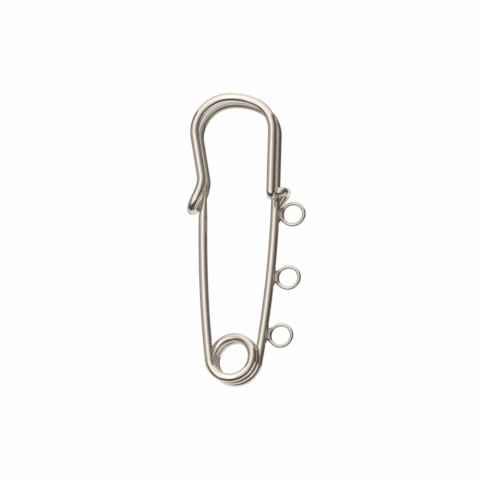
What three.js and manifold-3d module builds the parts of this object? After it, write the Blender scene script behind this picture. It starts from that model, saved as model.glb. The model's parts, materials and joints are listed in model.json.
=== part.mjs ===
// A kilt pin: a large safety pin bent from one plated steel wire, with three
// small charm rings brazed to its fixed arm. The wire starts at the ground
// point, runs down the pin arm, winds two and a half turns at the tail, climbs
// the back arm, arches over the head, folds round the point as a catch, arches
// back over itself and ends hooked round the back arm.
// Millimetres and degrees. X is across the pin, Y along it with the head at +Y,
// and Z is up, from the back arm towards the front strand of the head.

import * as THREE from "three";
import { mergeVertices } from "three/addons/utils/BufferGeometryUtils.js";
import Module from "manifold-3d";

// Wire
const wireDiameter = 1.5;
const wireSides = 16;
const wireStep = 1.1; // length of one facet along the wire
const bendStep = 0.42; // the same where the wire bends sharply
const cutGap = 0.02; // between the end faces of two stretches of the wire

// Depths: the point lies half-way between the two strands of the head
const strandSpacing = 3.9;

// Spring coil
const coilRadius = 3.6; // to the middle of the wire
const coilDrops = 2; // from turn to turn, so that two and a half turns are wound
const coilPitch = 2.05; // how far the wire sinks in one drop
const coilDropStart = 336; // degrees from the right side, where the first drop starts
const coilDropEnd = 530;
const coilDriftX = 0.13; // the front turn sits this much further to the left
const coilDriftY = 0.56; // and this much lower than the rear turn
const coilStepsPerTurn = 40;
const leastCoilGap = 0.4;

// Pin arm and its ground point
const pinArmLean = 6.44; // at the coil, outwards from the Y axis
const pinArmBow = 245; // radius that the arm is bowed to
const pinArmLength = 31.97;
const pointLength = 6.6;
const pointTipDiameter = 0.24;
const pointLean = 0.42; // how far the tip is ground towards the inner side

// Back arm
const backArmLean = 10.25;
const backArmBow = 197;
const backArmLength = 29.6;

// Head outline, followed from the right leg to the fold
const shoulderRadius = 5.6;
const rightShoulderBend = 64;
const crownRadius = 9.8;
const crownBend = 28.3;
const leftShoulderBend = 98.2;
const waistRadius = 4;
const waistBend = 21.3;
const flareRadius = 7;
const flareBend = 18;
const frontRightLeg = 9.8;
const frontLeftLeg = 6.9;
const rearRightLeg = 10;
const rearLeftLeg = 6.6;
const rearWaistToFlare = 0.6;

// Catch fold
const foldReach = 2.15; // how far the U-turn reaches past the strands' ends

// Hooked end: the front strand turns back and wraps round the back arm
const hookDrop = 1.3; // from the end of the front strand to the elbow's floor
const hookDepth = 1.35; // how far the elbow has sunk at its floor
const hookRise = 1.45; // the wrap lies this much higher than the elbow's floor
const wrapSideGap = 0.12; // between the wrap and the arm's right side
const wrapRearGap = 0.1; // between the wrap and the arm's back
const wrapStart = 52; // degrees in front of the arm's right side
const wrapEnd = -112; // and behind it, where the wire is cut off
const wrapDip = 0.5; // how much lower it starts in front of the arm
const wrapFall = 1.3; // how much lower it ends behind the arm

// Charm rings
const ringInner = 3.1;
const ringWire = 0.58;
const ringSides = 10;
const ringSteps = 40;
const ringSeam = 7; // degrees left open at the arm, where the ring's ends meet
const ringStand = 0.19; // from the back arm's side to the ring's outside
const ringDrops = { upper: 3.68, middle: 14.55, lower: 24.45 }; // below the hooked end

// Braze fillets between ring and arm
const brazeLength = 3.5;
const brazeWidth = 0.98;
const brazeDepth = 1.16;
const brazeGap = 0.03;

const platedWire = { color: 0xcfc4b6, roughness: 0.2, metalness: 1 };
const platedRing = { color: 0xcbc0b2, roughness: 0.18, metalness: 1 };
const brazeMetal = { color: 0xb3a698, roughness: 0.38, metalness: 1 };

const wireRadius = wireDiameter / 2;
const frontZ = strandSpacing / 2;
const rearZ = -strandSpacing / 2;
const coilFrontZ = rearZ + coilDrops * coilPitch;
const radians = THREE.MathUtils.degToRad;
const degrees = THREE.MathUtils.radToDeg;
const wholeTurn = (angle) => THREE.MathUtils.euclideanModulo(angle, 360);

const wasm = await Module();
wasm.setup();

// A point at an angle on a circle in a plane of constant Z.
function onCircle(centre, radius, angle) {
  const a = radians(angle);
  return new THREE.Vector3(
    centre.x + radius * Math.cos(a),
    centre.y + radius * Math.sin(a),
    centre.z,
  );
}

// A circular arc in a plane of constant Z, from a start angle through a sweep.
class FlatArc extends THREE.Curve {
  constructor(centre, radius, startDegrees, sweepDegrees) {
    super();
    Object.assign(this, { centre, radius, startDegrees, sweepDegrees });
  }

  getPoint(t, target = new THREE.Vector3()) {
    const angle = this.startDegrees + this.sweepDegrees * t;
    return target.copy(onCircle(this.centre, this.radius, angle));
  }
}

// A wire bent in one plane, built as a bending machine makes it: straight
// stretches and bends, each starting where the last one ended. Headings are
// degrees from +X, and a positive bend turns to the left.
class BentWire extends THREE.CurvePath {
  constructor(start, heading) {
    super();
    this.at = start.clone();
    this.heading = heading;
  }

  direction() {
    const a = radians(this.heading);
    return new THREE.Vector3(Math.cos(a), Math.sin(a), 0);
  }

  straight(length) {
    const end = this.at.clone().addScaledVector(this.direction(), length);
    this.add(new THREE.LineCurve3(this.at.clone(), end));
    this.at = end;
    return this;
  }

  bend(radius, angle) {
    const side = Math.sign(angle);
    const centre = onCircle(this.at, radius, this.heading + 90 * side);
    const start = this.heading - 90 * side;
    this.add(new FlatArc(centre, radius, start, angle));
    this.at = onCircle(centre, radius, start + angle);
    this.heading += angle;
    return this;
  }
}

// The middle line of the spring coil, wound from the front to the back arm's
// plane. It lies level along the bottom and sinks to the next turn over the top.
class CoilCurve extends THREE.Curve {
  constructor(startDegrees, endDegrees) {
    super();
    Object.assign(this, { startDegrees, endDegrees });
  }

  getPoint(t, target = new THREE.Vector3()) {
    const angle = THREE.MathUtils.lerp(this.startDegrees, this.endDegrees, t);
    let drops = 0;
    for (let i = 0; i < coilDrops; i++) {
      const turned = angle - 360 * i;
      drops += THREE.MathUtils.smoothstep(turned, coilDropStart, coilDropEnd);
    }
    const left = 1 - drops / coilDrops;
    const centre = new THREE.Vector3(
      -coilDriftX * left,
      -coilDriftY * left,
      THREE.MathUtils.lerp(rearZ, coilFrontZ, left),
    );
    return target.copy(onCircle(centre, coilRadius, angle));
  }
}

// The wrap round the back arm: rising to its right side and falling behind it.
class WrapCurve extends THREE.Curve {
  constructor(armPoint) {
    super();
    this.armPoint = armPoint;
  }

  getPoint(t, target = new THREE.Vector3()) {
    const angle = THREE.MathUtils.lerp(wrapStart, wrapEnd, t);
    const before = Math.max(0, angle / wrapStart);
    const behind = Math.max(0, angle / wrapEnd);
    target.set(
      (wireDiameter + wrapSideGap) * Math.cos(radians(angle)),
      -wrapDip * before - wrapFall * behind ** 1.4,
      (wireDiameter + wrapRearGap) * Math.sin(radians(angle)),
    );
    return target.add(this.armPoint);
  }
}

// A round section with flats towards both faces of the pin, tangent to the wire.
function roundSection(diameter, sides) {
  const corner = diameter / 2 / Math.cos(Math.PI / sides);
  const points = [];
  for (let i = 0; i < sides; i++) {
    const a = ((i + 0.5) * 2 * Math.PI) / sides;
    points.push(new THREE.Vector2(corner * Math.cos(a), corner * Math.sin(a)));
  }
  return new THREE.Shape(points);
}

// A stretch of a curve between two lengths, so that stretches meet with a cut.
class Stretch extends THREE.Curve {
  constructor(curve, from, to) {
    super();
    Object.assign(this, { curve, from, to });
    this.whole = curve.getLength();
  }

  getPoint(t, target = new THREE.Vector3()) {
    const length = THREE.MathUtils.lerp(this.from, this.to, t);
    return target.copy(this.curve.getPointAt(length / this.whole));
  }
}

// A closed tube of the wire along a curve, cut back at both ends by half a cut.
function tube(curve, diameter, sides, step) {
  const length = curve.getLength();
  const cut = new Stretch(curve, cutGap / 2, length - cutGap / 2);
  return new THREE.ExtrudeGeometry(roundSection(diameter, sides), {
    steps: Math.max(2, Math.ceil(length / step)),
    extrudePath: cut,
    bevelEnabled: false,
  });
}

function toSolid(geometry) {
  const bare = geometry.clone();
  bare.deleteAttribute("normal");
  bare.deleteAttribute("uv");
  const merged = mergeVertices(bare, 1e-4);
  return new wasm.Manifold(
    new wasm.Mesh({
      numProp: 3,
      vertProperties: merged.getAttribute("position").array,
      triVerts: new Uint32Array(merged.index.array),
    }),
  );
}

function toGeometry(solid) {
  const mesh = solid.getMesh();
  const geometry = new THREE.BufferGeometry();
  geometry.setAttribute(
    "position",
    new THREE.BufferAttribute(new Float32Array(mesh.vertProperties), 3),
  );
  geometry.setIndex(new THREE.BufferAttribute(new Uint32Array(mesh.triVerts), 1));
  return geometry;
}

const pin = new THREE.Group();

function addPiece(name, geometry, finish) {
  geometry.computeVertexNormals();
  const mesh = new THREE.Mesh(geometry, new THREE.MeshStandardMaterial(finish));
  mesh.name = name;
  pin.add(mesh);
}

// Spring coil
function coilCurve() {
  return new CoilCurve(180 + pinArmLean, 360 * (coilDrops + 1) - backArmLean);
}

// Least distance between the wire's surface and itself where the coil laps.
function leastGap(curve) {
  const count = 400;
  const points = curve.getSpacedPoints(count);
  const lapped = Math.ceil((count * Math.PI * coilRadius) / curve.getLength());
  let least = Infinity;
  for (let i = 0; i + lapped <= count; i++) {
    for (let j = i + lapped; j <= count; j++) {
      least = Math.min(least, points[i].distanceTo(points[j]));
    }
  }
  return least - wireDiameter;
}

function addSpringCoil() {
  const curve = coilCurve();
  const turns = (curve.endDegrees - curve.startDegrees) / 360;
  const gap = leastGap(curve);
  console.log("spring coil: least gap to itself " + gap.toFixed(3) + " mm");
  if (gap < leastCoilGap) console.log("spring coil: its turns lie too close");
  const step = curve.getLength() / (turns * coilStepsPerTurn);
  addPiece("spring_coil", tube(curve, wireDiameter, wireSides, step), platedWire);
  return curve;
}

// Pin arm: a bowed wire that sinks from the coil's front turn to half-way
// between the head's strands, ground down to a point leaning to the inner side
function addPinArm(coil) {
  const path = new BentWire(coil.getPoint(0), 90 + pinArmLean);
  path.bend(pinArmBow, -degrees(pinArmLength / pinArmBow));
  const bow = path.curves[0];
  const geometry = tube(path, wireDiameter, wireSides, pointLength / 8);
  const places = geometry.getAttribute("position");
  const vertex = new THREE.Vector3();
  for (let i = 0; i < places.count; i++) {
    vertex.fromBufferAttribute(places, i).sub(bow.centre);
    const angle = wholeTurn(degrees(Math.atan2(vertex.y, vertex.x)));
    const along = radians(bow.startDegrees - angle) * pinArmBow;
    const sunk = coilFrontZ * THREE.MathUtils.smoothstep(along, 0, pinArmLength);
    const ground = Math.max(0, 1 - (pinArmLength - along) / pointLength);
    const keep = 1 - (1 - pointTipDiameter / wireDiameter) * ground ** 1.25;
    const outwards = (Math.hypot(vertex.x, vertex.y) - pinArmBow) * keep;
    const place = onCircle(bow.centre, pinArmBow + outwards - pointLean * ground ** 1.4, angle);
    places.setXYZ(i, place.x, place.y, place.z - sunk + vertex.z * keep);
  }
  addPiece("pin_arm", geometry, platedWire);
}

// Back arm
function addBackArm(coil) {
  const path = new BentWire(coil.getPoint(1), 90 - backArmLean);
  path.bend(backArmBow, degrees(backArmLength / backArmBow));
  addPiece("back_arm", tube(path, wireDiameter, wireSides, wireStep * 2), platedWire);
  return path;
}

// Head: both strands follow one outline, each at its own depth
function strandPath(start, heading, rightLeg, leftLeg, waistToFlare) {
  const path = new BentWire(start, heading);
  path.straight(rightLeg);
  path.bend(shoulderRadius, rightShoulderBend);
  path.bend(crownRadius, crownBend);
  path.bend(shoulderRadius, leftShoulderBend);
  path.straight(leftLeg);
  path.bend(waistRadius, -waistBend);
  if (waistToFlare > 0) path.straight(waistToFlare);
  path.bend(flareRadius, -flareBend);
  return path;
}

function addHead(backArm) {
  const inFront = new THREE.Vector3(backArm.at.x, backArm.at.y, frontZ);
  const heading = backArm.heading;
  const rear = strandPath(backArm.at, heading, rearRightLeg, rearLeftLeg, rearWaistToFlare);
  const front = strandPath(inFront, heading, frontRightLeg, frontLeftLeg, 0);
  addPiece("head_rear_strand", tube(rear, wireDiameter, wireSides, wireStep), platedWire);
  addPiece("head_front_strand", tube(front, wireDiameter, wireSides, wireStep), platedWire);
  return { rear, front };
}

// Catch fold: the U-turn from the rear strand to the front one
function addCatchFold(head) {
  const reach = (foldReach * 4) / 3;
  const from = head.rear.at;
  const to = head.front.at;
  const curve = new THREE.CubicBezierCurve3(
    from,
    from.clone().addScaledVector(head.rear.direction(), reach),
    to.clone().addScaledVector(head.front.direction(), reach),
    to,
  );
  addPiece("catch_fold", tube(curve, wireDiameter, wireSides, bendStep), platedWire);
}

// Hooked end: an elbow towards the back, then a wrap round the back arm
function addHookedEnd(backArm) {
  const top = new THREE.Vector3(backArm.at.x, backArm.at.y, frontZ);
  const floor = new THREE.Vector3(top.x, top.y - hookDrop, frontZ - hookDepth);
  const wrap = new WrapCurve(new THREE.Vector3(top.x, floor.y + hookRise, rearZ));
  const wrapFrom = wrap.getPoint(0);
  const elbow = new THREE.CubicBezierCurve3(
    top,
    new THREE.Vector3(top.x, top.y - hookDrop * 0.62, top.z),
    new THREE.Vector3(floor.x, floor.y, floor.z + hookDepth * 0.62),
    floor,
  );
  const crossing = new THREE.CubicBezierCurve3(
    floor,
    new THREE.Vector3(floor.x, floor.y, floor.z - wireRadius),
    wrapFrom.clone().addScaledVector(wrap.getTangent(0), -wireRadius),
    wrapFrom,
  );
  const path = new THREE.CurvePath();
  path.add(elbow);
  path.add(crossing);
  path.add(wrap);
  addPiece("hooked_end", tube(path, wireDiameter, wireSides, bendStep), platedWire);
}

// Charm rings, each a loop of thin wire whose ends meet at the back arm, and
// the braze that fills the cusps between ring and arm
function ringAt(backArm, along) {
  const share = along / backArmLength;
  const armPoint = backArm.getPointAt(share);
  const heading = backArm.getTangentAt(share);
  const outwards = new THREE.Vector3(heading.y, -heading.x, 0);
  const stand = wireRadius + ringStand + ringWire + ringInner / 2;
  const centre = armPoint.clone().addScaledVector(outwards, stand);
  const angle = degrees(Math.atan2(outwards.y, outwards.x));
  return { armPoint, heading, outwards, centre, angle };
}

function addRing(name, place) {
  const radius = (ringInner + ringWire) / 2;
  const start = place.angle + 180 + ringSeam / 2;
  const loop = new FlatArc(place.centre, radius, start, 360 - ringSeam);
  const step = loop.getLength() / ringSteps;
  addPiece("charm_ring_" + name, tube(loop, ringWire, ringSides, step), platedRing);
}

function addBraze(name, place) {
  const contact = place.armPoint
    .clone()
    .addScaledVector(place.outwards, wireRadius + ringStand / 2);
  const blob = new THREE.SphereGeometry(0.5, 20, 12);
  blob.scale(brazeDepth, brazeLength, brazeWidth);
  blob.rotateZ(radians(place.angle));
  blob.translate(contact.x, contact.y, contact.z);
  const armEnd = brazeLength * 1.5;
  const arm = new THREE.LineCurve3(
    place.armPoint.clone().addScaledVector(place.heading, -armEnd),
    place.armPoint.clone().addScaledVector(place.heading, armEnd),
  );
  const ring = new THREE.TorusGeometry(
    (ringInner + ringWire) / 2,
    ringWire / 2 / Math.cos(Math.PI / ringSides) + brazeGap,
    ringSides,
    ringSteps,
  );
  ring.translate(place.centre.x, place.centre.y, place.centre.z);
  const armWidth = wireDiameter / Math.cos(Math.PI / wireSides) + 2 * brazeGap;
  const filled = toSolid(blob)
    .subtract(toSolid(tube(arm, armWidth, wireSides, armEnd)))
    .subtract(toSolid(ring));
  const pieces = filled.decompose().sort((a, b) => b.volume() - a.volume());
  addPiece("ring_braze_" + name, toGeometry(pieces[0]), brazeMetal);
}

const coil = addSpringCoil();
addPinArm(coil);
const backArm = addBackArm(coil);
const head = addHead(backArm);
addCatchFold(head);
addHookedEnd(backArm);
for (const [name, drop] of Object.entries(ringDrops)) {
  const place = ringAt(backArm, backArmLength - drop);
  addRing(name, place);
  addBraze(name, place);
}

// The frame's origin is under the middle of the pin as it lies on its back.
const bounds = new THREE.Box3().setFromObject(pin);
const middle = bounds.getCenter(new THREE.Vector3());
pin.position.set(-middle.x, -middle.y, -bounds.min.z);

export default pin;
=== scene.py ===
"""The looks of a kilt pin with three charm rings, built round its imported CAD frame.

The pin is one plated steel wire. Each stretch of it is swept along the line that
the bending machine gives it, so a sub-assembly is a class that holds its bends and
lengths, walks its lines and dresses what comes out. Sizes are in millimetres and
degrees, as a maker writes them, and the swept meshes are in metres.
"""

import json
import logging
import math
from collections.abc import Callable, Iterator
from dataclasses import dataclass, field
from enum import Enum
from functools import partial
from typing import Any

import bpy
from bpy.types import ColorRamp, Material, Mesh, NodeSocket, NodeTree, Object
from mathutils import Matrix, Quaternion, Vector


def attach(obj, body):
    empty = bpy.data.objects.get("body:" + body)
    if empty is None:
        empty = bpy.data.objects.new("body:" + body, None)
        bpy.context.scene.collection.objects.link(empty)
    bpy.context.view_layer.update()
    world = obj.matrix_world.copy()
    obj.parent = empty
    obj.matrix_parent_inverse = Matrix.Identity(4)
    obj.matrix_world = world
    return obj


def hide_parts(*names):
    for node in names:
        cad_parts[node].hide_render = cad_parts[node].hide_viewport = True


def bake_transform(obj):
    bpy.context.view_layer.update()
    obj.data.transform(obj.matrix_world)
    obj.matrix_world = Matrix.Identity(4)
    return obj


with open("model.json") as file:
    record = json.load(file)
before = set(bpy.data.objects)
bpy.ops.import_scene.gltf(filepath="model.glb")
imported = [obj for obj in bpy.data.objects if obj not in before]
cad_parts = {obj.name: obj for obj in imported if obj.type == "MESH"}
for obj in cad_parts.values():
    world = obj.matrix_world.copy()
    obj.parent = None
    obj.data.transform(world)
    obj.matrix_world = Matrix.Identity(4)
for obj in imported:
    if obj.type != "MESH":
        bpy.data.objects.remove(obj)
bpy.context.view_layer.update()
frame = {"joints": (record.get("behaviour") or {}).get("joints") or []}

log = logging.getLogger("kilt_pin")

MILLIMETRE = 0.001
WIRE = 1.5  # the diameter of the pin's wire
SECTION_LEAD = 0.02  # a section this close to each end keeps the shading of a joint smooth
ROUND_RINGS = 9
ROUND_TIP_SIZE = 0.02
WHITE = (1.0, 1.0, 1.0, 1.0)
RING_DROPS = {"upper": 3.68, "middle": 14.55, "lower": 24.45}  # below the arm's top
WARM = (1.0, 0.9, 0.79)  # the tint of the darkest reflections
CUT_RINGS = ((0.02, 0.985), (0.05, 0.95), (0.07, 0.88), (0.075, 0.8))  # rise and size


class Body(Enum):
    """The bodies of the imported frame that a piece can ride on."""

    FRAME = "frame"
    SPRING = "spring"
    PIN = "pin"


class Slot(Enum):
    """The record's material slots."""

    WIRE = "plated_wire"
    RING = "plated_ring"
    BRAZE = "braze"


class Tip(Enum):
    """How a stretch of wire ends."""

    JOINED = "joined"
    ROUNDED = "rounded"
    CUT = "cut"


# Node trees


def math_operator(operation: str, swapped: bool = False) -> Callable[["Signal", "Feed"], "Signal"]:
    """Makes an operator of Signal that adds one Math or Vector Math node.

    Args:
        operation: the node's operation.
        swapped: whether the signal stands second.

    Returns:
        The operator.
    """

    def apply(signal: "Signal", other: "Feed") -> "Signal":
        """Adds the node, which is for vectors if either side is one.

        Args:
            signal: the signal.
            other: the other side.

        Returns:
            The node's result.
        """
        kind = "ShaderNodeMath"
        if any(isinstance(s, Signal) and s.socket.type == "VECTOR" for s in (signal, other)):
            kind = "ShaderNodeVectorMath"
            other = (other,) * 3 if isinstance(other, (int, float)) else other
        values = {0: other, 1: signal} if swapped else {0: signal, 1: other}
        return signal.tree.add(kind, values, operation=operation)

    return apply


class Signal:
    """A node's output, on which shader and field maths are written as expressions."""

    def __init__(self, tree: "Tree", socket: NodeSocket) -> None:
        """Wraps one output socket of a tree."""
        self.tree = tree
        self.socket = socket

    __add__ = __radd__ = math_operator("ADD")
    __sub__ = math_operator("SUBTRACT")
    __rsub__ = math_operator("SUBTRACT", swapped=True)
    __mul__ = __rmul__ = math_operator("MULTIPLY")
    __truediv__ = math_operator("DIVIDE")
    __rtruediv__ = math_operator("DIVIDE", swapped=True)
    __pow__ = math_operator("POWER")
    __rpow__ = math_operator("POWER", swapped=True)
    at_least = math_operator("MAXIMUM")
    at_most = math_operator("MINIMUM")

    def clamped(self) -> "Signal":
        """Returns this signal held between 0 and 1."""
        return self.at_most(1.0).at_least(0.0)

    def dot(self, other: "Feed") -> "Signal":
        """Returns this vector's dot product with another."""
        values = {0: self, 1: other}
        return self.tree.add("ShaderNodeVectorMath", values, "Value", operation="DOT_PRODUCT")

    def length(self) -> "Signal":
        """Returns this vector's length."""
        return self.tree.add("ShaderNodeVectorMath", {0: self}, "Value", operation="LENGTH")


Feed = Any  # a signal, or a constant that a socket takes
Inputs = Callable[[str], Signal]  # finds a tree's input by its name
Colour = Point = Legs = tuple[float, float, float]
Tones = tuple[tuple[float, Colour], ...]


class Tree:
    """Adds nodes to a shader tree or to a Geometry Nodes tree."""

    def __init__(self, tree: NodeTree) -> None:
        """Starts on a tree that has no nodes that matter."""
        self.tree = tree
        tree.nodes.clear()

    @staticmethod
    def _pick(sockets: Any, key: str | int) -> NodeSocket:
        """Finds a socket by its place, its identifier or its name.

        Args:
            sockets: a node's inputs or outputs.
            key: the place, identifier or name.

        Returns:
            The socket, which is switched on if it was found by name.
        """
        if isinstance(key, int):
            return sockets[key]
        for socket in sockets:
            if socket.identifier == key:
                return socket
        return next(s for s in sockets if s.name == key and s.enabled)

    def add(
        self,
        kind: str,
        values: dict[str | int, Feed] | None = None,
        out: str | int = 0,
        **settings: Any,
    ) -> Signal | None:
        """Adds one node of any type.

        Args:
            kind: the node's type, such as ShaderNodeMath.
            values: the values or links of its input sockets.
            out: the output that is returned.
            settings: what is set first; "stops" are a ramp's places and colours.

        Returns:
            The chosen output, or None if the node has no output.
        """
        node = self.tree.nodes.new(kind)
        for name, value in settings.items():
            if name == "stops":
                self._set_stops(node.color_ramp, value)
            else:
                setattr(node, name, value)
        for key, value in (values or {}).items():
            socket = self._pick(node.inputs, key)
            if isinstance(value, Signal):
                self.tree.links.new(value.socket, socket)
            else:
                socket.default_value = value
        return Signal(self, self._pick(node.outputs, out)) if node.outputs else None

    @staticmethod
    def _set_stops(ramp: ColorRamp, stops: Tones) -> None:
        """Gives a ramp its stops.

        Args:
            ramp: the ramp of a new node, which has two stops.
            stops: the place and linear colour of each.
        """
        while len(ramp.elements) < len(stops):
            ramp.elements.new(1.0)
        for element, (place, colour) in zip(ramp.elements, stops):
            element.position = place
            element.color = (*colour, 1.0)

    def other(self, signal: Signal, out: str | int) -> Signal:
        """Returns another output of the node that a signal comes from."""
        return Signal(self, self._pick(signal.socket.node.outputs, out))

    def mix_colour(self, share: Feed, first: Feed, second: Feed) -> Signal:
        """Returns the first colour with a share of the second mixed in."""
        values = {"Factor_Float": share, "A_Color": first, "B_Color": second}
        return self.add("ShaderNodeMix", values, "Result_Color", data_type="RGBA")

    def noise(self, vector: Feed, scale: float, detail: float) -> Signal:
        """Returns noise round about 0.5, with so many grains to a unit and finer octaves."""
        values = {"Vector": vector, "Scale": scale, "Detail": detail}
        return self.add("ShaderNodeTexNoise", values, noise_dimensions="3D")

    def attribute(self, name: str, out: str) -> Signal:
        """Returns one of a piece's own attributes."""
        return self.add("ShaderNodeAttribute", out=out, attribute_name=name)

    def place(self) -> Signal:
        """Returns the place on the piece, in millimetres."""
        return self.add("ShaderNodeTexCoord", out="Object") * (1 / MILLIMETRE)

    def metal(self, colour: Feed, rough: Feed, height: Feed, edge: Colour) -> None:
        """Ends a material's tree in metal with a relief.

        Args:
            colour: the metal's colour.
            rough: its roughness.
            height: the height of its skin, in millimetres.
            edge: its tint where it is seen along the skin.
        """
        relief = {"Strength": 1.0, "Distance": MILLIMETRE, "Height": height}
        looks = {
            "Base Color": colour,
            "Metallic": 1.0,
            "Roughness": rough,
            "Specular Tint": (*edge, 1.0),
            "Normal": self.add("ShaderNodeBump", relief),
        }
        shader = self.add("ShaderNodeBsdfPrincipled", looks)
        self.add("ShaderNodeOutputMaterial", {"Surface": shader})


def new_material(name: str) -> tuple[Material, Tree]:
    """Starts a material.

    Args:
        name: its name.

    Returns:
        The material, and the empty tree of its nodes.
    """
    material = bpy.data.materials.new(name)
    material.use_nodes = True
    return material, Tree(material.node_tree)


class MakerTree:
    """A Geometry Nodes tree whose shape comes out smooth, in metres and dressed."""

    title = ""
    inputs: tuple[tuple[str, str], ...] = ()

    def __init__(self) -> None:
        """Builds the tree with its named inputs."""
        self.group = bpy.data.node_groups.new(self.title, "GeometryNodeTree")
        face = self.group.interface
        for name, kind in (("Geometry", "Geometry"), *self.inputs, ("Finish", "Material")):
            face.new_socket(name, in_out="INPUT", socket_type="NodeSocket" + kind)
        face.new_socket("Geometry", in_out="OUTPUT", socket_type="NodeSocketGeometry")
        tree = Tree(self.group)
        given = partial(tree.other, tree.add("NodeGroupInput"))
        made = self.shape(tree, given)
        for kind, values in (
            ("GeometryNodeSetShadeSmooth", {}),
            ("GeometryNodeTransform", {"Scale": (MILLIMETRE,) * 3}),
            ("GeometryNodeRealizeInstances", {}),
            ("GeometryNodeSetMaterial", {"Material": given("Finish")}),
            ("NodeGroupOutput", {}),
        ):
            made = tree.add(kind, {"Geometry": made, **values})

    def shape(self, tree: Tree, given: Inputs) -> Signal:
        """Adds the nodes that make the shape, in millimetres, from the tree's inputs."""
        raise NotImplementedError


class SweepTree(MakerTree):
    """Turns a line into round wire along it."""

    title = "Wire Sweep"
    inputs = (("Wire Diameter", "Float"), ("Sides", "Int"))

    def shape(self, tree: Tree, given: Inputs) -> Signal:
        """Adds the nodes: line to curve, its marks, round section, sweep.

        Args:
            tree: the tree.
            given: finds its inputs.

        Returns:
            The wire.
        """
        size = tree.add("GeometryNodeInputNamedAttribute", {"Name": "wire_size"})
        curve = tree.add("GeometryNodeMeshToCurve", {"Mesh": given("Geometry")})
        along = tree.add("GeometryNodeSplineParameter", out="Length")
        marked = self._store(tree, curve, "FLOAT", "wire_along", along)
        marked = self._store(tree, marked, "FLOAT", "wire_share", tree.other(along, "Factor"))
        round_line = {"Resolution": given("Sides"), "Radius": 0.5}
        circle = tree.add("GeometryNodeCurvePrimitiveCircle", round_line, mode="RADIUS")
        place = tree.add("GeometryNodeInputPosition")
        around = self._store(tree, circle, "FLOAT_VECTOR", "wire_around", place)
        full = {"Geometry": around, "Scale": given("Wire Diameter")}
        section = tree.add("GeometryNodeTransform", full)
        sweep = {"Curve": marked, "Profile Curve": section, "Scale": size, "Fill Caps": True}
        return tree.add("GeometryNodeCurveToMesh", sweep)

    @staticmethod
    def _store(tree: Tree, shape: Signal, kind: str, name: str, value: Signal) -> Signal:
        """Returns the shape with a value stored on its points."""
        values = {"Geometry": shape, "Name": name, "Value": value}
        return tree.add("GeometryNodeStoreNamedAttribute", values, data_type=kind)


class FilletTree(MakerTree):
    """Runs braze into the gap between arm and ring."""

    title = "Braze Fillet"
    inputs = (
        *((name, "Vector") for name in ("Arm Point", "Arm Heading", "Ring Centre", "Reach")),
        *((name, "Float") for name in ("Arm Diameter", "Ring Radius", "Ring Wire", "Run")),
        ("Unevenness", "Float"),
        ("Grains", "Int"),
    )
    lump_grain = 1.7
    skin_depth = 0.01
    blob_place = 0.36  # from the arm's middle line to the ring's middle
    blob_slope = 0.5
    blob_softness = 0.12
    box_margin = 1.08
    skin_level = 0.5

    def shape(self, tree: Tree, given: Inputs) -> Signal:
        """Adds the nodes: two distances, their soft join, a blob that ends it, its skin.

        Args:
            tree: the tree.
            given: finds its inputs.

        Returns:
            The braze.
        """
        place = tree.add("GeometryNodeInputPosition")
        foot, heading, centre = given("Arm Point"), given("Arm Heading"), given("Ring Centre")
        from_arm = place - foot
        aside = from_arm - heading * from_arm.dot(heading)
        arm = aside.length() - given("Arm Diameter") / 2
        from_ring = place - centre
        out_of_round = (from_ring * (1, 1, 0)).length() - given("Ring Radius")
        out_of_level = from_ring.dot((0, 0, 1))
        ring = (out_of_round**2 + out_of_level**2) ** 0.5 - given("Ring Wire") / 2
        run = {0: arm, 1: ring, 2: given("Run")}
        joined = tree.add("ShaderNodeMath", run, operation="SMOOTH_MIN")
        uneven = (tree.noise(place, self.lump_grain, 1.0) - 0.5) * given("Unevenness")
        middle = foot + (centre - foot) * self.blob_place
        from_middle = (place - middle) / given("Reach")
        blob = (from_middle.length() - 1.0) * self.blob_slope
        ended = {0: joined + uneven + self.skin_depth, 1: blob, 2: self.blob_softness}
        skin = tree.add("ShaderNodeMath", ended, operation="SMOOTH_MAX")
        half = given("Reach") * self.box_margin
        box = {
            "Density": self.skin_level - skin,
            "Background": 0.0,
            "Min": middle - half,
            "Max": middle + half,
            **{"Resolution " + axis: given("Grains") for axis in "XYZ"},
        }
        cast = tree.add("GeometryNodeVolumeCube", box)
        cut = {"Volume": cast, "Threshold": self.skin_level}
        return tree.add("GeometryNodeVolumeToMesh", cut, resolution_mode="GRID")


def in_scene(name: str, data: Any) -> Object:
    """Returns a new object of the scene with this data."""
    bpy.context.scene.collection.objects.link(made := bpy.data.objects.new(name, data))
    return made


def plain_mesh(name: str, base: Mesh, group: NodeTree, inputs: dict[str, Any]) -> Object:
    """Runs a Geometry Nodes tree on a mesh and keeps the result as a plain mesh.

    Args:
        name: the finished piece's name.
        base: the mesh that the tree starts from.
        group: the tree.
        inputs: the tree's inputs by name.

    Returns:
        The finished object, at the origin, with no modifier.
    """
    maker = in_scene(name + "_maker", base)
    modifier = maker.modifiers.new("Maker", "NODES")
    modifier.node_group = group
    for item in group.interface.items_tree:
        if item.in_out == "INPUT" and item.name in inputs:
            modifier[item.identifier] = inputs[item.name]
    scene_graph = bpy.context.evaluated_depsgraph_get()
    made = bpy.data.meshes.new_from_object(maker.evaluated_get(scene_graph))
    made.name = name
    maker.modifiers.remove(modifier)
    bpy.data.objects.remove(maker)
    bpy.data.meshes.remove(base)
    return in_scene(name, made)


# Lines that the wire follows


def shares(length: float, step: float) -> list[float]:
    """Spaces the wire's sections along a stretch.

    Args:
        length: the stretch's length.
        step: the greatest distance between two sections.

    Returns:
        Shares of the length from 0 to 1, with a section close to each end.
    """
    count = max(2, math.ceil(length / step))
    lead = min(SECTION_LEAD / length, 0.25 / count)
    return sorted({*(i / count for i in range(count + 1)), lead, 1 - lead})


def on_circle(centre: Vector, radius: float, angle: float) -> Vector:
    """Returns the point at a level distance and an angle from another."""
    turn = math.radians(angle)
    return centre + Vector((radius * math.cos(turn), radius * math.sin(turn), 0.0))


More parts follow.
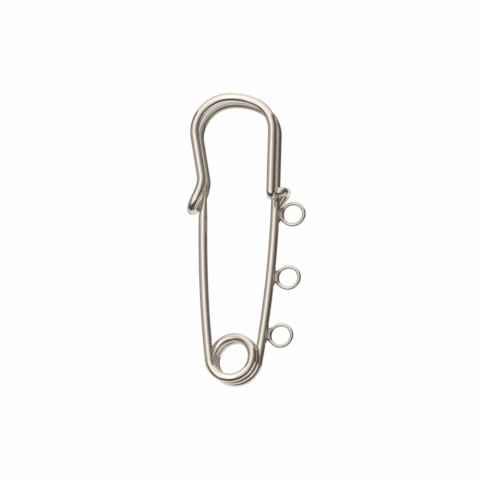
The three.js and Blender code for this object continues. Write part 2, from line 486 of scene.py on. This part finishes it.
@dataclass
class WireLine:
    """The middle line of a stretch of wire, with the wire's size at each point."""

    points: list[Vector] = field(default_factory=list)
    sizes: list[float] = field(default_factory=list)

    def follow(
        self,
        at: Callable[[float], Vector],
        length: float,
        step: float,
        size: Callable[[float], float] = lambda share: 1.0,
    ) -> "WireLine":
        """Goes on along a curve that starts where the line has ended.

        Args:
            at: the curve's point at each share of it.
            length: the curve's rough length.
            step: the greatest distance between two points.
            size: the wire's size there, as a share of its full diameter.

        Returns:
            The line.
        """
        for share in shares(length, step)[1 if self.points else 0 :]:
            self.points.append(at(share))
            self.sizes.append(size(share))
        return self

    def through(self, corners: list[Vector], radius: float, step: float) -> "WireLine":
        """Runs straight from corner to corner, and round each inner corner.

        Args:
            corners: where the line starts, its corners and where it ends.
            radius: the bends' radius to the middle of the wire.
            step: the greatest distance between two points.

        Returns:
            The line.
        """
        start = corners[0]
        for before, corner, after in zip(corners, corners[1:], corners[2:]):
            into, out = (corner - before).normalized(), (after - corner).normalized()
            turn = into.angle(out)
            cut = radius * math.tan(turn / 2)
            bend, axis = corner - into * cut, into.cross(out)
            centre = corner + (out - into).normalized() * (radius / math.cos(turn / 2))
            spoke = bend - centre
            self.follow(lambda share: start.lerp(bend, share), (bend - start).length, step)
            self.follow(
                lambda share: centre + Quaternion(axis, turn * share) @ spoke,
                turn * radius,
                step,
            )
            start = corner + out * cut
        end = corners[-1]
        return self.follow(lambda share: start.lerp(end, share), (end - start).length, step)

    def finish(self, start: Tip, end: Tip, wire: float) -> "WireLine":
        """Rounds or cuts the ends of the line.

        Args:
            start: what the first end is.
            end: what the last end is.
            wire: the wire's diameter.

        Returns:
            The line.
        """
        for tip, first in ((start, True), (end, False)):
            if tip is Tip.JOINED:
                continue
            near, next_in = (0, 1) if first else (-1, -2)
            foot, size = self.points[near], self.sizes[near]
            out = (foot - self.points[next_in]).normalized()
            for place, share in self._tip(tip, foot, out, size * wire / 2):
                self.points.insert(0 if first else len(self.points), place)
                self.sizes.insert(0 if first else len(self.sizes), size * share)
        return self

    @staticmethod
    def _tip(tip: Tip, foot: Vector, out: Vector, radius: float) -> Iterator[tuple[Vector, float]]:
        """Gives the sections of an end, from the wire outwards.

        Args:
            tip: what the end is.
            foot: the last point of the full wire.
            out: the way out of the wire.
            radius: the wire's radius there.

        Yields:
            The place of each section, and its share of the wire's size.
        """
        if tip is Tip.CUT:
            for rise, share in CUT_RINGS:
                yield foot + out * rise, share
            return
        yield foot + out * SECTION_LEAD, 1.0
        for i in range(1, ROUND_RINGS + 1):
            turn = math.radians(90 * i / ROUND_RINGS)
            share = max(math.cos(turn), ROUND_TIP_SIZE)
            yield foot + out * (SECTION_LEAD + radius * math.sin(turn)), share


@dataclass
class BendingLine(WireLine):
    """A line walked in one level plane, as a bending machine feeds the wire."""

    at: Vector = field(default_factory=Vector)
    heading: float = 90.0
    step: float = 0.28

    def way(self) -> Vector:
        """Returns the wire's way here."""
        return on_circle(Vector(), 1.0, self.heading)

    def straight(self, length: float) -> "BendingLine":
        """Feeds a straight length.

        Args:
            length: the length.

        Returns:
            The line.
        """
        start, way = self.at.copy(), self.way()
        self.follow(lambda share: start + way * length * share, length, self.step)
        self.at = start + way * length
        return self

    def bend(self, radius: float, angle: float) -> "BendingLine":
        """Bends the wire to the left, or to the right if the angle is negative.

        Args:
            radius: the bend's radius to the middle of the wire.
            angle: the bend's angle.

        Returns:
            The line.
        """
        side = math.copysign(1.0, angle)
        centre = on_circle(self.at, radius, self.heading + 90 * side)
        start = self.heading - 90 * side
        length = math.radians(abs(angle)) * radius
        self.follow(
            lambda share: on_circle(centre, radius, start + angle * share), length, self.step
        )
        self.at = on_circle(centre, radius, start + angle)
        self.heading += angle
        return self


# Finishes


@dataclass(frozen=True)
class PlatedFinish:
    """Bright warm nickel plating on drawn wire.

    Depths are in millimetres, and grains are counts in a millimetre.
    """

    name: str
    light: Colour = (0.83, 0.775, 0.705)
    dark: Colour = (0.77, 0.705, 0.63)
    edge: Colour = (0.86, 0.83, 0.79)
    gloss: tuple[float, float] = (0.1, 0.16)
    draw_grain: float = 13.0
    draw_stretch: float = 0.06
    draw_depth: float = 0.0005
    cloud_grain: float = 0.35
    cloud_contrast: float = 1.6
    cloud_gloss: float = 0.8
    draw_gloss: float = 0.4
    ripple_grain: float = 1.4
    ripple_depth: float = 0.0015
    pit_grain: float = 16.0
    pit_floor: float = 0.69
    pit_contrast: float = 12.0
    pit_gloss: float = 0.12
    pit_depth: float = 0.0012
    # painted shade: the colour mixed into the middle of a stretch where a neighbouring strand
    # shades it; the same stretch is also made rougher
    painted_shade_colour: Colour = (0.5, 0.44, 0.38)
    painted_shade_share: float = 0.0
    dull_gloss: float = 0.2
    shade_and_dull_power: float = 4.0

    def make(self, diameter: float) -> Material:
        """Builds the material.

        Args:
            diameter: the wire's diameter, which the draw lines are spaced by.

        Returns:
            The material, which reads the wire's own along, share and around attributes.
        """
        material, tree = new_material(self.name)
        place = tree.place()
        along = tree.attribute("wire_along", "Fac") * self.draw_stretch
        skin = tree.attribute("wire_around", "Vector") * diameter
        skin = skin + tree.add("ShaderNodeCombineXYZ", {2: along})
        drawn = tree.noise(skin, self.draw_grain, 3.0)
        cloud = tree.noise(place, self.cloud_grain, 2.0)
        ripple = tree.noise(place, self.ripple_grain, 1.0)
        pits = tree.noise(place, self.pit_grain, 1.0)
        pitted = ((pits - self.pit_floor) * self.pit_contrast).clamped()
        shade = (cloud * self.cloud_contrast - (self.cloud_contrast - 1) / 2).clamped()
        colour = tree.mix_colour(shade, (*self.dark, 1.0), (*self.light, 1.0))
        low, high = self.gloss
        rough = low + (high - low) * (cloud * self.cloud_gloss + drawn * self.draw_gloss)
        rough = rough + pitted * self.pit_gloss
        # painted shade: darkens the middle of the stretch towards the shade colour, for the shade
        # between two strands, and roughens it
        if self.painted_shade_share > 0:
            share = tree.attribute("wire_share", "Fac")
            middle = (share * (1.0 - share) * 4.0) ** self.shade_and_dull_power
            colour = tree.mix_colour(middle * self.painted_shade_share, colour, (*self.painted_shade_colour, 1.0))
            rough = rough + middle * self.dull_gloss
        height = drawn * self.draw_depth + ripple * self.ripple_depth - pitted * self.pit_depth
        tree.metal(colour, rough, height, self.edge)
        return material


@dataclass(frozen=True)
class BrazeFinish:
    """Plated braze: the same metal, settled to a duller and lumpier skin, and darker, partly as
    the braze's own duller metal and partly as painted shade in the gap between arm and ring.
    """

    name: str = "Plated braze"
    # darker than the wire: partly the braze's own duller metal, partly painted shade in the gap
    # between arm and ring
    light: Colour = (0.46, 0.41, 0.35)
    dark: Colour = (0.3, 0.25, 0.21)
    edge: Colour = (0.86, 0.83, 0.79)
    gloss: tuple[float, float] = (0.24, 0.42)
    lump_grain: float = 2.2
    lump_contrast: float = 2.0
    lump_depth: float = 0.03
    fine_grain: float = 11.0
    fine_depth: float = 0.006

    def make(self) -> Material:
        """Builds the material.

        Returns:
            The material.
        """
        material, tree = new_material(self.name)
        place = tree.place()
        lumps = tree.noise(place, self.lump_grain, 2.0)
        grain = tree.noise(place, self.fine_grain, 3.0)
        shade = (lumps * self.lump_contrast - (self.lump_contrast - 1) / 2).clamped()
        colour = tree.mix_colour(shade, (*self.dark, 1.0), (*self.light, 1.0))
        low, high = self.gloss
        height = lumps * self.lump_depth + grain * self.fine_depth
        tree.metal(colour, low + (high - low) * grain, height, self.edge)
        return material


# The pin's wire


class Workshop:
    """What every sub-assembly is made with."""

    def __init__(self) -> None:
        """Finds the lines' origin, and makes the trees and the finishes."""
        swing = next(j for j in frame["joints"] if j["name"] == "pin_arm_swing")
        # The lines start over the rear turn's middle, level with the catch.
        self.origin = Vector(swing["pos_m"]) / MILLIMETRE - SpringCoil(self).middle(1.0)
        self.sweep = SweepTree()
        self.fillet = FilletTree()
        ring = PlatedFinish(
            "Plated ring wire", light=(0.7, 0.65, 0.59), dark=(0.6, 0.55, 0.49), gloss=(0.09, 0.15)
        )
        self.wire_finish = PlatedFinish("Plated wire").make(WIRE)
        # the rear strand's finish, with painted shade in the middle of the stretch where the front
        # strand shades it
        self.painted_shade_finish = PlatedFinish("Plated wire with painted shade between strands", painted_shade_share=0.7).make(WIRE)
        self.ring_finish = ring.make(CharmRing.wire)
        self.braze_finish = BrazeFinish().make()


@dataclass
class SubAssembly:
    """A part of the pin: builds its meshes, then dresses them."""

    workshop: Workshop
    wire: float = WIRE
    sides: int = 48

    def dress(self, piece: Object, body: Body | None, slot: Slot, node: str) -> None:
        """Puts a piece on its body, in place of its CAD node, and reports it.

        Args:
            piece: the finished piece.
            body: the body it rides on, or None to attach it to no body.
            slot: the record's slot that its finish comes from; not used.
            node: the CAD node that it stands for.
        """
        if body:
            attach(piece, body.value)
        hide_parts(node)
        log.info("%s: %d faces", piece.name, len(piece.data.polygons))

    def lay(
        self,
        name: str,
        line: WireLine,
        body: Body | None,
        node: str,
        finish: Material | None = None,
        slot: Slot = Slot.WIRE,
    ) -> Object:
        """Makes round wire along a line and dresses it.

        Args:
            name: the piece's name.
            line: its middle line.
            body: the body it rides on, or None to attach it to no body.
            node: the CAD node that it stands for.
            finish: its material, if it isn't the pin's own.
            slot: the record's slot of that material.

        Returns:
            The piece.
        """
        shop = self.workshop
        base = bpy.data.meshes.new(name + "_line")
        edges = [(i, i + 1) for i in range(len(line.points) - 1)]
        base.from_pydata([p + shop.origin for p in line.points], edges, [])
        sizes = base.attributes.new("wire_size", "FLOAT", "POINT")
        sizes.data.foreach_set("value", line.sizes)
        finish = finish or shop.wire_finish
        inputs = {"Wire Diameter": self.wire, "Sides": self.sides, "Finish": finish}
        piece = plain_mesh(name, base, shop.sweep.group, inputs)
        self.dress(piece, body, slot, node)
        return piece


@dataclass
class SpringCoil(SubAssembly):
    """Two and a half turns at the tail, which push the pin arm back out."""

    radius: float = 3.6
    drops: int = 2
    pitch: float = 2.05
    rear_level: float = -1.95
    drift_x: float = 0.13
    drift_y: float = 0.56
    first_angle: float = 186.44
    last_angle: float = 1069.75
    falls_from: float = 336.0
    falls_to: float = 530.0
    step: float = 0.26

    def middle(self, left: float) -> Vector:
        """Returns the middle of the turn that has this share of the drops left."""
        rise = self.drops * self.pitch * left
        return Vector((-self.drift_x * left, -self.drift_y * left, self.rear_level + rise))

    def at(self, angle: float) -> Vector:
        """Finds a point of the wire's middle.

        Args:
            angle: its angle in the winding.

        Returns:
            The point.
        """
        fallen = 0.0
        for turn in range(self.drops):
            share = (angle - 360 * turn - self.falls_from) / (self.falls_to - self.falls_from)
            share = min(max(share, 0.0), 1.0)
            fallen += share * share * (3 - 2 * share)
        return on_circle(self.middle(1 - fallen / self.drops), self.radius, angle)

    def build(self) -> None:
        """Winds the coil from the pin arm to the back arm and dresses it."""
        sweep = self.last_angle - self.first_angle
        length = math.radians(sweep) * self.radius
        line = WireLine().follow(
            lambda share: self.at(self.first_angle + sweep * share), length, self.step
        )
        line.finish(Tip.ROUNDED, Tip.JOINED, self.wire)
        coil = self.lay("coil_wire", line, None, "spring_coil")
        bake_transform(coil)


@dataclass
class PinArm(SubAssembly):
    """The moving arm: a bowed wire that leans back to the catch, ground to a point."""

    coil: SpringCoil = None
    lean: float = 6.44
    bow: float = 245.0
    length: float = 31.97
    point_length: float = 6.6
    tip: float = 0.24
    point_lean: float = 0.42
    lean_power: float = 1.4
    grinding_power: float = 1.25
    step: float = 0.3

    def build(self) -> None:
        """Makes the arm from the coil's start and dresses it."""
        start = self.coil.at(self.coil.first_angle)
        heading = 90 + self.lean
        centre = on_circle(start, self.bow, heading - 90)
        sweep = math.degrees(self.length / self.bow)

        def ground(share: float) -> float:
            """Returns how far down the point a share of the arm is."""
            return max(0.0, 1 - self.length * (1 - share) / self.point_length)

        def at(share: float) -> Vector:
            """Finds the middle of the wire, which leans inwards at the point.

            Args:
                share: the share of the arm's length.

            Returns:
                The place.
            """
            radius = self.bow - self.point_lean * ground(share) ** self.lean_power
            sunk = start.z * share * share * (3 - 2 * share)
            place = on_circle(centre, radius, heading + 90 - sweep * share)
            return place - Vector((0.0, 0.0, sunk))

        def size(share: float) -> float:
            """Returns what the grinding leaves of the wire's diameter."""
            return 1 - (1 - self.tip / self.wire) * ground(share) ** self.grinding_power

        line = WireLine().follow(at, self.length, self.step, size)
        line.finish(Tip.ROUNDED, Tip.ROUNDED, self.wire)
        self.lay("pin_wire", line, Body.PIN, "pin_arm")


@dataclass
class BackArm(SubAssembly):
    """The fixed arm, which carries the rings."""

    coil: SpringCoil = None
    lean: float = 10.25
    bow: float = 197.0
    length: float = 29.6
    line: BendingLine = field(default=None, init=False)

    def bent(self, length: float) -> BendingLine:
        """Returns the arm's line from the coil's end to this length."""
        line = BendingLine(at=self.coil.at(self.coil.last_angle), heading=90 - self.lean)
        return line.bend(self.bow, math.degrees(length / self.bow))

    def build(self) -> None:
        """Makes the arm from the coil's end and dresses it."""
        self.line = self.bent(self.length)
        self.lay("back_wire", self.line, Body.FRAME, "back_arm")

    def place(self, drop: float) -> tuple[Vector, Vector]:
        """Returns the point this far below the arm's top, and the way of the wire there."""
        line = self.bent(self.length - drop)
        return line.at, line.way()


@dataclass
class Head(SubAssembly):
    """Two strands that arch over together, and the fold that makes the catch."""

    back_arm: BackArm = None
    spacing: float = 3.9
    shoulder_radius: float = 5.6
    right_shoulder: float = 64.0
    crown_radius: float = 9.8
    crown: float = 28.3
    left_shoulder: float = 98.2
    waist_radius: float = 4.0
    waist: float = 21.3
    flare_radius: float = 7.0
    flare: float = 18.0
    front_legs: Legs = (9.8, 6.9, 0.0)
    rear_legs: Legs = (10.0, 6.6, 0.6)
    fold_lead: float = 1.7
    fold_reach: float = 3.75
    fold_squareness: float = 2.4
    fold_step: float = 0.16
    hook_lead: float = 1.1

    def strand(self, start: Vector, legs: Legs) -> BendingLine:
        """Walks one strand's outline.

        Args:
            start: its lower right end.
            legs: its right leg, its left leg and the straight below its waist.

        Returns:
            The strand's line.
        """
        right_leg, left_leg, below_waist = legs
        line = BendingLine(at=start, heading=self.back_arm.line.heading)
        line.straight(right_leg)
        line.bend(self.shoulder_radius, self.right_shoulder)
        line.bend(self.crown_radius, self.crown)
        line.bend(self.shoulder_radius, self.left_shoulder)
        line.straight(left_leg)
        line.bend(self.waist_radius, -self.waist)
        if below_waist > 0:
            line.straight(below_waist)
        in_fold = math.degrees(self.fold_lead / self.flare_radius)
        return line.bend(self.flare_radius, in_fold - self.flare)

    def below_flare(self, strand: BendingLine, along: float) -> Vector:
        """Finds a point beyond a strand, past the rest of its flare.

        Args:
            strand: the strand.
            along: the distance from its end along the wire.

        Returns:
            The point.
        """
        bent = min(along, self.fold_lead)
        heading = strand.heading - math.degrees(bent / self.flare_radius)
        centre = on_circle(strand.at, self.flare_radius, strand.heading - 90)
        foot = on_circle(centre, self.flare_radius, heading + 90)
        return on_circle(foot, along - bent, heading)

    def build(self) -> None:
        """Makes both strands and the fold between them."""
        top = self.back_arm.line.at
        rear = self.strand(top, self.rear_legs)
        start = top + self.back_arm.line.way() * self.hook_lead + Vector((0, 0, self.spacing))
        right_leg, left_leg, below_waist = self.front_legs
        front = self.strand(start, (right_leg - self.hook_lead, left_leg, below_waist))
        # the rear strand gets the finish with painted shade in its middle, for the front strand's
        # shade on it
        shaded = self.workshop.painted_shade_finish
        self.lay("rear_strand_wire", rear, Body.FRAME, "head_rear_strand", shaded)

        def fold_at(share: float) -> Vector:
            """Finds a point of the fold, which is squarer than an ellipse.

            Args:
                share: the share of the way round.

            Returns:
                The point.
            """
            turn = math.pi * share
            power = 2 / self.fold_squareness
            along = self.fold_reach * math.sin(turn) ** power
            aside = math.copysign(abs(math.cos(turn)) ** power, -math.cos(turn))
            forward = (1 + aside) / 2
            return self.below_flare(rear, along).lerp(self.below_flare(front, along), forward)

        length = self.spacing / 2 + 2 * self.fold_reach
        fold = WireLine().follow(fold_at, length, self.fold_step)
        self.lay("catch_fold_wire", fold, Body.FRAME, "catch_fold")
        self.lay("front_strand_wire", front, Body.FRAME, "head_front_strand")


@dataclass
class HookedEnd(SubAssembly):
    """The front strand's end, folded to the right, back past the arm and behind it.

    Its sizes place the corners in which its straight runs would meet.
    """

    head: Head = None
    drop: float = 2.8
    depth: float = 1.9
    aside: float = 1.63
    rise: float = 2.4
    climb: float = 1.0
    rear_gap: float = 0.1
    fall: float = 2.4
    overhang: float = 0.1
    bend_radius: float = 0.78
    step: float = 0.1

    def build(self) -> None:
        """Folds the end at its four corners and dresses it."""
        arm = self.head.back_arm.line
        top = arm.at + Vector((0, 0, self.head.spacing))
        level = self.rise - self.drop
        behind = -self.wire - self.rear_gap
        corners = [
            top + arm.way() * self.head.hook_lead,
            top - arm.way() * self.drop,
            top + Vector((0, level, -self.depth)),
            top + Vector((self.aside, level, -self.depth)),
            arm.at + Vector((self.aside, level + self.climb, behind)),
            arm.at + Vector((-self.overhang, level + self.climb - self.fall, behind)),
        ]
        line = WireLine().through(corners, self.bend_radius, self.step)
        line.finish(Tip.JOINED, Tip.CUT, self.wire)
        self.lay("hooked_wire", line, Body.FRAME, "hooked_end")


@dataclass
class CharmRing(SubAssembly):
    """A loop of thin wire brazed to the back arm's outer side."""

    back_arm: BackArm = None
    place_name: str = ""
    drop: float = 0.0
    inner: float = 3.1
    wire: float = 0.58
    sides: int = 32
    seam: float = 7.0
    stand: float = 0.19
    run: float = 1.4
    reach: Point = (0.95, 1.75, 0.62)
    unevenness: float = 0.07
    grains: int = 56
    step: float = 0.13

    def build(self) -> None:
        """Bends the ring and runs the braze into its foot."""
        arm_wire = self.back_arm.wire
        foot, way = self.back_arm.place(self.drop)
        out = Vector((way.y, -way.x, 0.0))
        radius = (self.inner + self.wire) / 2
        centre = foot + out * (arm_wire / 2 + self.stand + self.wire / 2 + radius)
        facing = math.degrees(math.atan2(out.y, out.x)) + 180
        sweep = 360 - self.seam
        line = WireLine().follow(
            lambda share: on_circle(centre, radius, facing + self.seam / 2 + sweep * share),
            math.radians(sweep) * radius,
            self.step,
        )
        shop = self.workshop
        name, node = "ring_wire_" + self.place_name, "charm_ring_" + self.place_name
        self.lay(name, line, Body.FRAME, node, shop.ring_finish, Slot.RING)
        inputs = {
            "Arm Point": foot + shop.origin,
            "Arm Heading": way,
            "Ring Centre": centre + shop.origin,
            "Reach": self.reach,
            "Arm Diameter": arm_wire,
            "Ring Radius": radius,
            "Ring Wire": self.wire,
            "Run": self.run,
            "Unevenness": self.unevenness,
            "Grains": self.grains,
            "Finish": shop.braze_finish,
        }
        seed = bpy.data.meshes.new("braze_seed")
        fillet = plain_mesh("braze_" + self.place_name, seed, shop.fillet.group, inputs)
        self.dress(fillet, Body.FRAME, Slot.BRAZE, "ring_braze_" + self.place_name)


# The studio


@dataclass(frozen=True)
class Card:
    """A card beside or on the table that only the polished metal sees.

    Its columns are places across it, with their tones from the foot up. They pass
    into each other, and lean by this share of its width over its height.
    """

    name: str
    corner: Point
    across: Point
    up: Point
    columns: tuple[tuple[float, Tones], ...]
    lean: float = 0.0


@dataclass
class Studio:
    """A pale table, a plain bright room and cards that give the metal its edges."""

    floor_depth: float = 0.06
    floor_size: float = 12.0
    floor_colour: Colour = (0.86, 0.855, 0.845)
    floor_glow: float = 0.9
    room_light: float = 1.0
    lamp_sides: tuple[float, float] = (0.16, 1.2)
    lamp_power: float = 0.3
    lamp_colour: Colour = (1.0, 0.985, 0.96)
    lamp_place: Point = (-0.19, 0.1, 0.9)
    window: Point = (-0.034, 0.024, -0.023)
    card_distance: float = 0.34
    card_lift: float = 0.001
    least_warmth: float = 0.1

    def build(self) -> None:
        """Makes the floor, the room's light, the lamp and the cards."""
        self._floor()
        self._room()
        self._lamp()
        for card in self._cards():
            self._stand(card)

    @staticmethod
    def _sheet(name: str, corner: Point, across: Point, up: Point) -> Object:
        """Makes a four-sided stage object.

        Args:
            name: its name.
            corner: its first corner.
            across: the side from there to the second corner.
            up: the side from there to the last corner.

        Returns:
            The object.
        """
        corner, across, up = Vector(corner), Vector(across), Vector(up)
        corners = [corner, corner + across, corner + across + up, corner + up]
        mesh = bpy.data.meshes.new(name)
        mesh.from_pydata(corners, [], [(0, 1, 2, 3)])
        sheet = in_scene(name, mesh)
        return sheet

    def _floor(self) -> None:
        """Lays a pale table top that the camera and the metal see as white."""
        size = self.floor_size
        corner = (-size / 2, -size / 2, -self.floor_depth)
        floor = self._sheet("table_top", corner, (size, 0, 0), (0, size, 0))
        material, tree = new_material("Pale table top")
        path = tree.add("ShaderNodeLightPath")
        rays = ("Is Camera Ray", "Is Glossy Ray", "Is Transmission Ray")
        camera, glossy, through = (tree.other(path, ray) for ray in rays)
        share = (camera + glossy + through).clamped() * self.floor_glow
        pale = tree.add("ShaderNodeBsdfDiffuse", {"Color": (*self.floor_colour, 1.0)})
        glow = tree.add("ShaderNodeEmission", {"Color": WHITE, "Strength": 1.0})
        mixed = tree.add("ShaderNodeMixShader", {0: share, 1: pale, 2: glow})
        tree.add("ShaderNodeOutputMaterial", {"Surface": mixed})
        floor.data.materials.append(material)

    def _room(self) -> None:
        """Fills the room with plain white light."""
        world = bpy.data.worlds.new("Plain room")
        world.use_nodes = True
        tree = Tree(world.node_tree)
        values = {"Color": WHITE, "Strength": self.room_light}
        light = tree.add("ShaderNodeBackground", values)
        tree.add("ShaderNodeOutputWorld", {"Surface": light})
        bpy.context.scene.world = world

    def _lamp(self) -> None:
        """Hangs a wide soft lamp over the table."""
        light = bpy.data.lights.new("soft_box", "AREA")
        light.shape = "RECTANGLE"
        light.size, light.size_y = self.lamp_sides
        light.energy = self.lamp_power
        light.color = self.lamp_colour
        lamp = in_scene("soft_box", light)
        lamp.location = self.lamp_place
        lamp.visible_camera = False

    def _cards(self) -> list[Card]:
        """Lists the cards: three walls, darker near the camera, and the dark table.

        Returns:
            The cards.
        """
        away, low = self.card_distance, -self.floor_depth
        lift = low + self.card_lift

        def grey(level: float) -> Colour:
            """Returns a warm grey, which has less warmth the paler it is."""
            warmth = max(self.least_warmth, 1 - level)
            return tuple(level * (1 - (1 - part) * warmth) for part in WARM)

        def greys(*stops: tuple[float, float]) -> Tones:
            """Returns places with their greys."""
            return tuple((place, grey(level)) for place, level in stops)

        left_far = greys((0, 0.42), (0.1, 0.4), (0.26, 0.44), (0.64, 0.74), (1, 0.95))
        left_side = (
            (0.3, greys((0, 0.14), (0.15, 0.08), (0.36, 0.12), (0.5, 0.9), (0.62, 1.15))),
            (0.42, left_far),
            (0.66, left_far),
            (0.74, greys((0, 0.08), (0.3, 0.1), (0.5, 0.4), (0.64, 0.74), (1, 0.95))),
        )
        close = greys((0, 0.08), (0.18, 0.1), (0.29, 0.16), (0.36, 0.3), (0.48, 0.7), (1, 0.9))
        far = greys((0, 0.08), (0.18, 0.18), (0.36, 0.4), (0.48, 0.58), (0.73, 0.74), (1, 0.85))
        right_side = ((0.4, close), (0.8, far))
        front = greys((0, 0.2), (0.09, 0.12), (0.2, 0.08), (0.5, 0.08), (0.62, 0.3), (0.8, 1.05))
        beside = greys((0, 0.36), (1, 0.4))
        outer = greys((0, 0.08), (0.8, 0.14), (1, 0.3))
        before = greys((0, 0.25), (0.3, 0.5), (0.6, 0.8), (1, 0.9))
        left, right, near = self.window
        wide, deep = (2 * away, 0, 0), (0, 2 * away, 0)
        walled, nearer = (0, away - near, 0), (0, near + away, 0)
        near_corner = (-away, -away, low)
        return [
            Card("left_card", near_corner, deep, (0, 0, 0.81), left_side, lean=0.6),
            Card("right_card", (away, -away, low), deep, (-0.2, 0, 0.96), right_side),
            Card("near_card", near_corner, wide, (0, 0, 0.66), ((0, front),)),
            Card("table_left", (-away, near, lift), walled, (left + away, 0, 0), ((0, beside),)),
            Card("table_right", (away, near, lift), walled, (right - away, 0, 0), ((0, outer),)),
            Card("table_near", (-away, -away, lift), wide, nearer, ((0, before),)),
        ]

    def _stand(self, card: Card) -> None:
        """Makes one card, which only reflections see.

        Args:
            card: the card.
        """
        sheet = self._sheet(card.name, card.corner, card.across, card.up)
        material, tree = new_material(card.name)
        place = tree.add("ShaderNodeTexCoord", out="Object") - card.corner
        across, up = Vector(card.across), Vector(card.up)
        risen = place.dot(tuple(up / up.length_squared))
        passed = place.dot(tuple(across / across.length_squared)) - risen * card.lean
        tone, last = None, 0.0
        for column, tones in card.columns:
            shade = tree.add("ShaderNodeValToRGB", {0: risen}, "Color", stops=tones)
            if tone:
                share = ((passed - last) / (column - last)).clamped()
                shade = tree.mix_colour(share, tone, shade)
            tone, last = shade, column
        glow = tree.add("ShaderNodeEmission", {"Color": tone, "Strength": 1.0})
        tree.add("ShaderNodeOutputMaterial", {"Surface": glow})
        sheet.data.materials.append(material)
        for rays in ("camera", "diffuse", "transmission", "shadow"):
            setattr(sheet, "visible_" + rays, False)


@dataclass(frozen=True)
class PhotoCamera:
    """The camera at the photograph's viewing angle, far off with a long lens."""

    look_at: Point = (-0.9223, 0.0449, 4.1689)
    right: Point = (0.9781, 0.0, -0.2079)
    up: Point = (0.0660, 0.9483, 0.3104)
    frame_width: float = 79.4
    lens: float = 1000.0
    sensor: float = 36.0
    clip: tuple[float, float] = (0.01, 100.0)

    def build(self) -> None:
        """Makes the camera and gives it to the scene."""
        right, up = Vector(self.right).normalized(), Vector(self.up).normalized()
        back = right.cross(up).normalized()
        distance = self.frame_width * self.lens / self.sensor
        data = bpy.data.cameras.new("photo_camera")
        data.lens = self.lens
        data.sensor_width = self.sensor
        data.clip_start, data.clip_end = self.clip
        camera = in_scene("photo_camera", data)
        turn = Matrix((right, back.cross(right), back)).transposed()
        camera.matrix_world = turn.to_4x4()
        camera.location = (Vector(self.look_at) + back * distance) * MILLIMETRE
        bpy.context.scene.camera = camera


def main() -> None:
    """Builds the pin's sub-assemblies in order, then the studio round them."""
    logging.basicConfig(level=logging.INFO, format="%(name)s: %(message)s")
    workshop = Workshop()
    coil = SpringCoil(workshop)
    coil.build()
    PinArm(workshop, coil=coil).build()
    back_arm = BackArm(workshop, coil=coil)
    back_arm.build()
    head = Head(workshop, back_arm=back_arm)
    head.build()
    HookedEnd(workshop, head=head).build()
    for name, drop in RING_DROPS.items():
        CharmRing(workshop, back_arm=back_arm, place_name=name, drop=drop).build()
    Studio().build()
    PhotoCamera().build()
    bpy.context.scene.view_settings.view_transform = "Standard"


if __name__ == "__main__":
    main()
